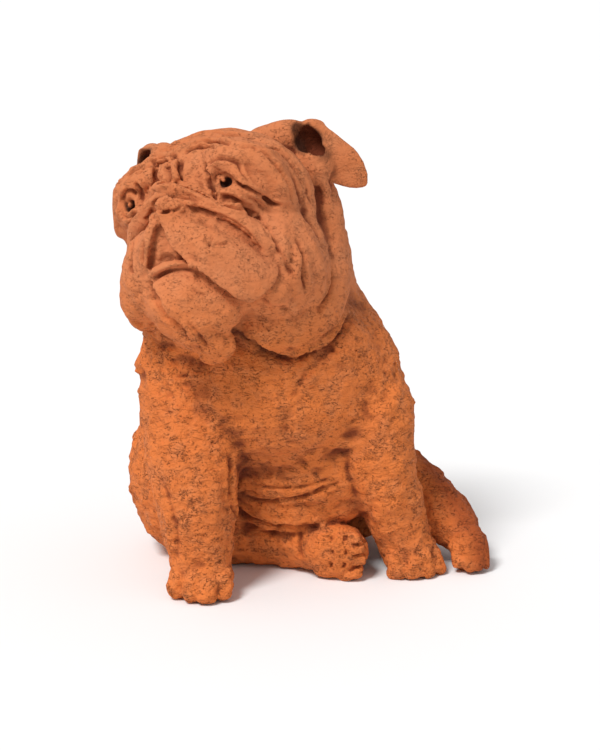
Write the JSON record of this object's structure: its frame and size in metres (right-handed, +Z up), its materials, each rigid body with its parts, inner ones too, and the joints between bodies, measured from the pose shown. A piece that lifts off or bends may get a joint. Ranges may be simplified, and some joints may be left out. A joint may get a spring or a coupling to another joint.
{
  "type": "bulldog garden statue",
  "caption": "Seated bulldog modelled by hand in terracotta, head turned and raised, fired in one hollow piece.",
  "frame": {"origin": "on the ground, at the centre of the statue's bounding box seen from above", "axes": "+Z up; the picture looks along +Y at the statue's front, and +X is to the viewer's right"},
  "size_m": [0.373, 0.3388, 0.4583],
  "materials": {
    "bulldog": "unglazed, rough hand-modelled terracotta"
  },
  "bodies": {
    "root": {"bulldog": "bulldog"}
  },
  "joints": []
}
